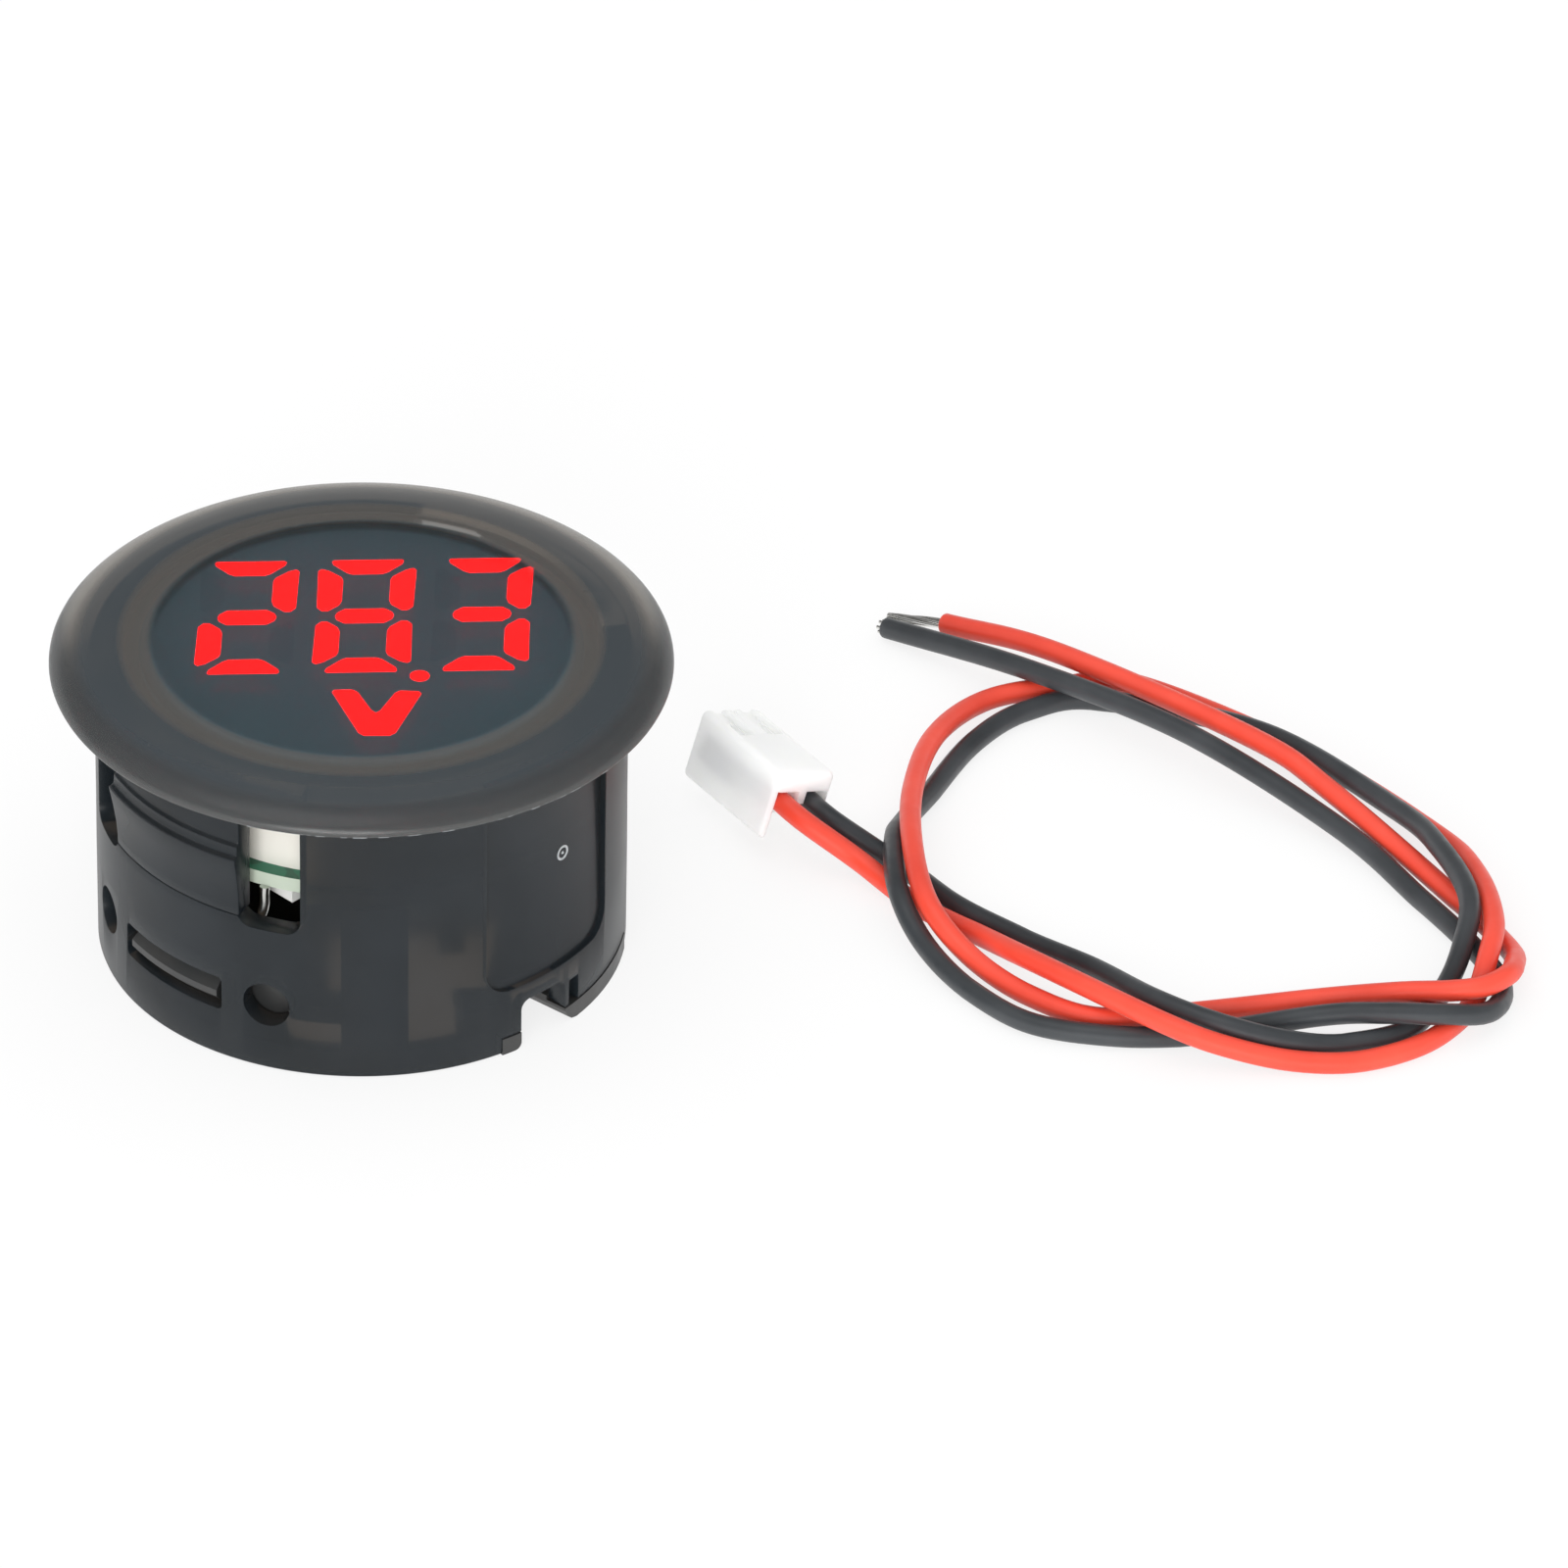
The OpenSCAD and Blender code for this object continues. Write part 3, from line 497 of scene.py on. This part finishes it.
# ------------------------------------------------------------------ lead: routes and wires
WIRE_R, WIRE_EDGE = 0.6, 0.12
RED_ROUTE = [
    (22.23, 9.08, 3.1), (24.03, 6.68, 2.85), (27.12, 5.26, 1.2), (30.53, 1.64, 0.6),
    (33.85, -1.29, 0.75), (37.1, -5.51, 1.8), (43.89, -11.47, 2.1), (47.15, -12.63, 1.45),
    (50.92, -12.9, 0.7), (54.59, -12.71, 0.6), (58.14, -10.85, 0.6), (60.5, -7.71, 0.65),
    (61.56, -4.5, 1.85), (61.95, -0.92, 2.05), (61.04, 4.17, 1.6), (58.97, 8.59, 1),
    (52.14, 16.67, 0.6), (42.77, 23.53, 0.6), (38.44, 23.32, 0.6), (34.28, 21.57, 0.85),
    (31.43, 16.75, 1.75), (30.17, 10.65, 2.4), (30.11, 4.58, 2.85), (31, -0.62, 2.4),
    (33.21, -3.55, 1.05), (36.21, -6.53, 0.6), (39.8, -8.75, 0.6), (44.05, -8.53, 0.6),
    (52.59, -7.29, 0.95), (56.74, -7.92, 1.85), (59.4, -7.95, 2), (61.2, -7.75, 2.15),
    (62.5, -6.7, 2.15), (63, -4.9, 1.65), (62.8, -2, 0.72), (59.96, 3, 0.6), (53.21, 11.68, 1.72),
    (48.97, 15.85, 2.35), (38.18, 24.79, 1.9), (31.88, 29.4, 0.7)]
BLACK_ROUTE = [
    (23.79, 10.15, 2.45), (25.59, 7.75, 2.2), (28.91, 6.19, 0.6), (32.57, 1.77, 0.6),
    (36.42, -1.54, 0.6), (39.94, -4.69, 1.05), (43.29, -8.92, 1.95), (46.73, -11.16, 1.95),
    (50.29, -11.68, 1.25), (53.56, -11.15, 0.6), (57.1, -9.71, 0.6), (59.1, -5.98, 0.6),
    (60.19, -3.08, 1.5), (60.62, 0.37, 2.45), (59.16, 5.23, 2.35), (56.8, 9.76, 1.85),
    (49.63, 17.55, 1.55), (40.79, 21.96, 0.6), (36.54, 20.94, 0.6), (33.57, 17.77, 0.6),
    (31.23, 12.93, 0.6), (29.63, 8.96, 1.15), (29.15, 6.07, 1.95), (29.35, 1, 2.15),
    (30.75, -2.46, 1.05), (33.15, -6.14, 0.6), (36.37, -9.29, 0.6), (40.4, -10.47, 0.6),
    (44.72, -10.53, 0.6), (52.46, -9.4, 1.3), (56.06, -10.12, 2), (58.94, -10.03, 1.9),
    (61.54, -8.8, 1.2), (62.37, -5.78, 0.6), (61.15, -2.33, 0.6), (58.03, 2.91, 0.6),
    (53.69, 8.95, 1.1), (45.36, 16.48, 2.2), (36.66, 22.93, 1.95), (28.59, 29.09, 0.6)]


def smooth_route(points, per_mm=2.0):
    """Catmull-Rom curve through the points, never lower than a wire that lies on the table."""
    p = [Vector(q) for q in points]
    p = [2 * p[0] - p[1]] + p + [2 * p[-1] - p[-2]]
    out = []
    for a, b, c, d in zip(p, p[1:], p[2:], p[3:]):
        n = max(2, round((c - b).length * per_mm))
        for k in range(n):
            t = k / n
            out.append(0.5 * (2 * b + (c - a) * t + (2 * a - 5 * b + 4 * c - d) * t * t
                              + (3 * b - a - 3 * c + d) * t ** 3))
    out.append(p[-2])
    for q in out:
        q.z = max(q.z, WIRE_R)
    return out


red_path, black_path = smooth_route(RED_ROUTE), smooth_route(BLACK_ROUTE)
red_wire = drawn("red_lead_wire", red_path, WIRE_R)
black_wire = drawn("black_lead_wire", black_path, WIRE_R)
for ob in (red_wire, black_wire):
    break_edges(ob, WIRE_EDGE, segments=2, limit=60, sharp=40)
hand_over(red_wire, "lead", "red_insulation", red_pvc, "red_wire")
hand_over(black_wire, "lead", "black_insulation", black_pvc, "black_wire")

# ------------------------------------------------------------------ lead: bare strands
STRAND_R, STRAND_TIP = 0.1, Vector((28.7, 30.33, 0.42))
BUNCH = 7  # one strand in the middle and six around it


def strands(name, start, tip, count, ring, turns, steps=14):
    """Tinned strands with a lazy twist, drawn together into one piece."""
    along = tip - start
    ahead = along.normalized()
    side = ahead.orthogonal().normalized()
    up = ahead.cross(side)
    whole = bmesh.new()
    for i in range(count):
        r = 0 if i == 0 else ring
        phase = 2 * pi * i / max(1, count - 1)
        extent = 1.0 - (0.05 * marks.random() if i else 0)
        path = []
        for k in range(steps + 1):
            a = phase + 2 * pi * turns * k / steps
            path.append(start + along * extent * k / steps + (side * cos(a) + up * sin(a)) * r)
        strand = drawn("strand", path, STRAND_R, sides=8)
        whole.from_mesh(strand.data)
        bpy.data.objects.remove(strand)
    ob = as_object(name, whole)
    shade(ob, 50)
    return ob


red_end, black_end = red_path[-1], black_path[-1]
red_bare = strands("red_tinned_strands", red_end - (STRAND_TIP - red_end).normalized() * 0.3,
                   STRAND_TIP, BUNCH, ring=0.2, turns=0.35)
hand_over(red_bare, "lead", "tinned_copper", tinned_copper, "red_strands")
out_of_end = (black_path[-1] - black_path[-4]).normalized()
black_bare = strands("black_tinned_strands", black_end - out_of_end * 0.2,
                     black_end + out_of_end * 0.3, BUNCH, ring=0.32, turns=0.0, steps=2)
hand_over(black_bare, "lead", "tinned_copper", tinned_copper, "black_strands")

# ------------------------------------------------------------------ lead: plug
PLUG_W, PLUG_L, PLUG_H = 4.0, 7.8, 4.15
CONTACT_PITCH, CONTACT_Z, CHANNEL, MOUTH_L = 2.0, 2.25, 1.5, 3.2
PIN_HOLE_HALF = 0.45
GROOVE_HALF, GROOVE_L, GROOVE_DEPTH = 0.5, 3.2, 0.35
# a pocket in each groove, by its distances from the mating end
POCKET_HALF, POCKET_SPAN, POCKET_DEPTH = 0.38, (2.9, 1.3), 0.6
VEE_HALF, VEE_L, VEE_DEPTH = 0.35, 0.9, 0.5
PLUG_CORNER, PLUG_EDGE, FRONT_WALL = 0.4, 0.06, 1
PLUG_POS, PLUG_ROLL, PLUG_YAW = (21.1, 11.1), 19.0, 34.5
BACK_END, MATING_END, PAST = -PLUG_L / 2, PLUG_L / 2, 1  # cutters run past the plug by 1 mm
on_table = (Matrix.Translation(Vector((*PLUG_POS, PLUG_W / 2 * sin(radians(PLUG_ROLL)))) * MM)
            @ Matrix.Rotation(radians(PLUG_YAW), 4, "Z") @ Matrix.Rotation(radians(PLUG_ROLL), 4, "Y"))


def block(x, y, z):
    """A block between pairs of coordinates in mm, in the plug's own frame."""
    outline = [(x[0], y[0]), (x[1], y[0]), (x[1], y[1]), (x[0], y[1])]
    return pushed("block", outline, z[0], z[1], on_table)


plug = block((-PLUG_W / 2, PLUG_W / 2), (BACK_END, MATING_END), (0, PLUG_H))
plug.name = plug.data.name = "plug_moulding"
break_edges(plug, PLUG_CORNER, segments=4, limit=50)
cutters = []
for x in (-CONTACT_PITCH / 2, CONTACT_PITCH / 2):
    h = CHANNEL / 2
    cutters.append(block((x - h, x + h), (BACK_END - PAST, MATING_END - FRONT_WALL),
                         (CONTACT_Z - h, CONTACT_Z + h)))
    h = PIN_HOLE_HALF
    cutters.append(block((x - h, x + h), (0, MATING_END + PAST), (CONTACT_Z - h, CONTACT_Z + h)))
    cutters.append(block((x - GROOVE_HALF, x + GROOVE_HALF),
                         (MATING_END - GROOVE_L, MATING_END + PAST),
                         (PLUG_H - GROOVE_DEPTH, PLUG_H + PAST)))
    cutters.append(block((x - POCKET_HALF, x + POCKET_HALF),
                         (MATING_END - POCKET_SPAN[0], MATING_END - POCKET_SPAN[1]),
                         (PLUG_H - POCKET_DEPTH, PLUG_H + PAST)))
mouth = CONTACT_PITCH / 2 + CHANNEL / 2 - 0.01
cutters.append(block((-mouth, mouth), (BACK_END - PAST, BACK_END + MOUTH_L), (-PAST, CONTACT_Z)))
vee = [(0, MATING_END - VEE_L), (VEE_HALF, MATING_END + 0.1), (-VEE_HALF, MATING_END + 0.1)]
cutters.append(pushed("vee", vee, PLUG_H - VEE_DEPTH, PLUG_H + PAST, on_table))
carve(plug, cutters)
break_edges(plug, PLUG_EDGE, segments=2, limit=50)
hand_over(plug, "lead", "nylon_white", nylon, "plug_housing")

# ------------------------------------------------------------------ housing
BARREL_R, BORE_R, FLANGE_R, FLANGE_Z = 14.5, 13.19, 17.0, 17.5
TOP_Z, WINDOW_Z = 19.1, 17.73  # the pane's upper and lower faces
# the dome falls from the flat face as a quarter of an ellipse: centre, and half its axes
DOME_R, DOME_Z, DOME_W, DOME_H = 12, 17.65, 5, 1.45
# azimuths are in degrees from the front, and heights from the table
CLIP_AZ, CLIP_HALF, SLOT_ANGLE, CLIP_ROOT_Z, SLOT_Z = -45.5, 19.5, 14.0, 9.6, 9.1
CLIP_GAP_TOP, SLOT_TOP, PANEL_TOP = 17.36, 17.45, 17.43
HOLE_AZ, HOLE_Z, HOLE_R = 25.7, 4.2, 1.35
NOTCH_AZ, NOTCH_Z, TAB_AZ, TAB_Z = (38, 51), 3.05, (33, 83), 1.1
LUG_Z, LUG_HALF = (3.05, 5.15), 15
PANEL_AZ, PANEL_Z, PANEL_DEPTH = (29, 67), 4.1, 0.35
RELIEF_AZ, RELIEF_Z = (52.3, 55.6), (0.9, 2.7)
HOUSING_EDGE, CLIP_EDGE = 0.12, 0.09

through = (BORE_R - 2, BARREL_R + 1)
# rings in the flat of the pane keep its two faces true up to their edges
dome = [(r, TOP_Z) for r in (0, 4, 8, 11, 11.9)]
dome += [(DOME_R + DOME_W * sin(radians(a)), DOME_Z + DOME_H * cos(radians(a)))
         for a in range(0, 91, 5)]
under_flange = [(FLANGE_R, 17.6), (16.97, 17.53), (16.9, FLANGE_Z), (14.62, FLANGE_Z),
                (14.55, 17.44)]
wall = [(BARREL_R, 9.05), (BARREL_R, 6.2), (14.46, 0.25), (14.4, 0.08), (14.3, 0.02), (14.2, 0),
        (BORE_R, 0)]
pane = [(r, WINDOW_Z) for r in (BORE_R, 12.95, 12.6, 8, 4, 0)]
profile = dome + under_flange + wall + pane
housing = turned("housing_moulding", profile, 256)


def wall_cutter(az, half, z, foot=0.0, head=0.0):
    """Cutter of an opening through the wall: azimuth and half its angle, and (low, high)."""
    width = 2 * BARREL_R * sin(radians(half))
    return pushed("cutter", rounded(width, z, foot, head), *through, outwards(az))


def ring_cutter(span, r, z, steps=24):
    """Cutter of a stretch of the wall between azimuths, radii and heights."""
    return turned("cutter", [(r[0], z[0]), (r[1], z[0]), (r[1], z[1]), (r[0], z[1])], steps, span)


cutters = []
for c in (CLIP_AZ, CLIP_AZ + 180):
    cutters.append(ring_cutter((c - CLIP_HALF - 1, c + CLIP_HALF + 1), through,
                               (CLIP_ROOT_Z, CLIP_GAP_TOP)))
    for s in (-1, 1):
        # each slot reaches 0.6 degrees in under its clip
        cutters.append(wall_cutter(c + s * (CLIP_HALF + SLOT_ANGLE / 2 - 0.3),
                                   SLOT_ANGLE / 2 + 0.3, (SLOT_Z, SLOT_TOP), foot=0.9))
        cutters.append(pushed("cutter", circle(HOLE_R, (0, HOLE_Z)), *through,
                              outwards(c + s * HOLE_AZ)))
    cutters.append(wall_cutter(c, LUG_HALF, LUG_Z, foot=0.3, head=0.3))
cutters.append(wall_cutter(sum(NOTCH_AZ) / 2, (NOTCH_AZ[1] - NOTCH_AZ[0]) / 2, (-1, NOTCH_Z),
                           head=0.6))
for span in ((TAB_AZ[0], NOTCH_AZ[0] + 1), (NOTCH_AZ[1] - 1, TAB_AZ[1])):
    cutters.append(ring_cutter(span, through, (-1, TAB_Z)))
carve(housing, cutters)

# the shallow field in the barrel's right side, and the relief beside the notch
width = 2 * BARREL_R * sin(radians((PANEL_AZ[1] - PANEL_AZ[0]) / 2))
field = pushed("field", rounded(width, (PANEL_Z, PANEL_TOP), 1.5, 0.0, 10),
               BORE_R - 2, BARREL_R + 2, outwards(sum(PANEL_AZ) / 2))
floor_of_field = BARREL_R - PANEL_DEPTH
carve(field, [turned("core", [(0, -1), (floor_of_field, -1), (floor_of_field, 19), (0, 19)], 256)])
carve(housing, [ring_cutter(RELIEF_AZ, (BARREL_R - 0.5, BARREL_R + 1), RELIEF_Z, steps=8), field])
break_edges(housing, HOUSING_EDGE, segments=2, limit=40)
hand_over(housing, "meter", "smoked_plastic", smoked, "front_housing")

# ------------------------------------------------------------------ snap clips
# section of a clip: it leans out from its root, steps back twice at its ratchet, and ends in a
# straight tongue under the flange
CLIP = [(14.5, 9.62), (14.52, 10.2), (14.6, 11.2), (14.8, 12.4), (15.0, 13.4), (15.0, 13.52),
        (14.72, 13.66), (14.7, 14.1), (14.72, 14.22), (14.5, 14.36), (14.5, 16.5), (13.15, 16.5),
        (13.15, 9.62)]
for body, node_name, az in (("clip_front", "snap_clip_front", CLIP_AZ),
                            ("clip_back", "snap_clip_back", CLIP_AZ + 180)):
    clip = turned(body + "_moulding", CLIP, 48, (az - CLIP_HALF, az + CLIP_HALF))
    break_edges(clip, CLIP_EDGE, segments=2, limit=28)
    hand_over(clip, body, "smoked_plastic", smoked, node_name)

# ------------------------------------------------------------------ marks of moulding
# where the runner was cut from the barrel: a raised ring with a torn nub in it
NUB_FOOT, NUB_TIP, NUB_H = 0.13, 0.06, 0.1
spot, normal = place_on(housing, "gate_mark")
stand = Matrix.Translation(spot) @ normal.to_track_quat("Z", "Y").to_matrix().to_4x4()
bm = bmesh.new()
ring = [(0.32, -0.05), (0.45, -0.05), (0.45, 0.03), (0.39, 0.05), (0.32, 0.02)]
edges = outline_edges(bm, ring, lambda r, z: (r * MM, 0, z * MM))
bmesh.ops.spin(bm, geom=bm.verts[:] + edges, cent=(0, 0, 0), axis=(0, 0, 1), angle=2 * pi,
               steps=32, use_merge=True, use_duplicate=False)
bmesh.ops.create_cone(bm, cap_ends=True, segments=7, radius1=NUB_FOOT * MM,
                      radius2=NUB_TIP * MM, depth=NUB_H * MM)
bmesh.ops.transform(bm, matrix=stand, verts=bm.verts)
gate = finish_piece("gate_mark", bm)
hand_over(gate, "meter", "smoked_plastic", scuffed_and_highlit)

# the trimmed tail of a display pin, seen under the board through the front slot
PIN_TAIL = [(-5.0, -11.5, 10.55), (-5.02, -11.54, 10.1), (-5.0, -11.6, 9.6),
            (-5.06, -11.66, 9.2), (-5.16, -11.7, 8.9)]
PIN_TAIL_R = 0.28
tail = drawn("trimmed_pin_tail", [Vector(p) for p in PIN_TAIL], PIN_TAIL_R, sides=12)
hand_over(tail, "meter", "tinned_metal", bright_tin)

# thin flash left in pieces along the seam under the flange's front edge
SEAM_R, SEAM_Z, SEAM_AZ = 16.93, 17.53, (-22.0, 52)
# its pieces: length and gap in degrees, thickness in mm, and how many of them are there
SLIVER_ANGLE, SLIVER_GAP, SLIVER_R, SLIVER_SHARE = (0.6, 3.2), (0.1, 1.2), (0.025, 0.05), 0.72
bm = bmesh.new()
az = SEAM_AZ[0]
while az < SEAM_AZ[1]:
    long = marks.uniform(*SLIVER_ANGLE)
    if marks.random() < SLIVER_SHARE:
        path = [Vector((SEAM_R * sin(radians(a)), -SEAM_R * cos(radians(a)), SEAM_Z))
                for a in (az + long * k / 4 for k in range(5))]
        sliver = drawn("sliver", path, marks.uniform(*SLIVER_R), sides=5)
        bm.from_mesh(sliver.data)
        bpy.data.objects.remove(sliver)
    az += long + marks.uniform(*SLIVER_GAP)
flash = as_object("seam_flash", bm)
# the flash's pale grey is partly a painted highlight along the flange's lower edge
hand_over(flash, "meter", "smoked_plastic", scuffed_and_highlit)

# ------------------------------------------------------------------ floor, surroundings, lamps
# the floor: radius in metres, gap under the object, and its own white where it is looked at
FLOOR_R, FLOOR_GAP, FLOOR_WHITE = 3.0, 0.02 * MM, 0.8
# the white all round, and the grey card: degrees from straight up where it begins to fade and
# where it ends, and its shade
AROUND, CARD, CARD_GREY = 0.96, (66, 76), 0.13
# the round lamps: name, place in metres and watts; then their width, and where they point
LAMPS = (("overhead", (-0.15, -0.1, 0.7), 0.4), ("front_fill", (-0.1, -0.7, 0.2), 4.2))
LAMP_W, LAMP_AIM = 0.5, Vector((0.02, 0, 0.01))

bm = bmesh.new()
bmesh.ops.create_circle(bm, cap_ends=True, segments=128, radius=FLOOR_R)
bmesh.ops.translate(bm, verts=bm.verts, vec=(0, 0, -FLOOR_GAP))
floor = as_object("floor", bm)
owner, t = new_tree("white_paper_floor")
seen = node(t, "LightPath").outputs
direct = node(t, "Math", {0: seen["Is Camera Ray"], 1: seen["Is Glossy Ray"]},
              operation="MAXIMUM").outputs[0]
direct = node(t, "Math", {0: direct, 1: seen["Is Transmission Ray"]}, operation="MAXIMUM").outputs[0]
paper = node(t, "BsdfDiffuse", {"Color": (0.92, 0.92, 0.92, 1)})
white = node(t, "Emission", {"Color": (1, 1, 1, 1), "Strength": 1.0})
share = node(t, "Math", {0: direct, 1: FLOOR_WHITE}, operation="MULTIPLY").outputs[0]
both = node(t, "MixShader", {0: share, 1: paper.outputs[0], 2: white.outputs[0]})
node(t, "OutputMaterial", {"Surface": both.outputs[0]})
floor.data.materials.append(owner)

sky, t = new_tree("white_surroundings", bpy.data.worlds)
seen = node(t, "LightPath").outputs
mirror = node(t, "Math", {0: seen["Is Glossy Ray"], 1: seen["Is Transmission Ray"]},
              operation="MAXIMUM").outputs[0]
# a grey card hangs over the object, so that the window and the front of the rim mirror no white
way = node(t, "TexCoord").outputs["Generated"]
card = node(t, "SeparateXYZ", {0: way}).outputs[2]
mirrored = node(t, "MapRange", {"Value": card, "From Min": cos(radians(CARD[1])),
                                "From Max": cos(radians(CARD[0])), "To Min": 1.0,
                                "To Max": CARD_GREY}).outputs[0]
strength = node(t, "Mix", {0: mirror, 2: AROUND, 3: mirrored}).outputs[0]
strength = node(t, "Mix", {0: seen["Is Camera Ray"], 2: strength, 3: 1.0}).outputs[0]
glow = node(t, "Background", {"Color": (1, 1, 1, 1), "Strength": strength})
node(t, "OutputWorld", {"Surface": glow.outputs[0]})
scene.world = sky

# the fill whitens the plug's shaded side, and nothing mirrors it
for name, place, watts in LAMPS:
    lamp_data = bpy.data.lights.new(name, "AREA")
    lamp_data.shape, lamp_data.size, lamp_data.energy = "DISK", LAMP_W, watts
    lamp = bpy.data.objects.new(name, lamp_data)
    scene.collection.objects.link(lamp)
    lamp.location = place
    towards = LAMP_AIM - lamp.location
    lamp.rotation_euler = towards.to_track_quat("-Z", "Y").to_euler()
    lamp.visible_glossy = name == "overhead"
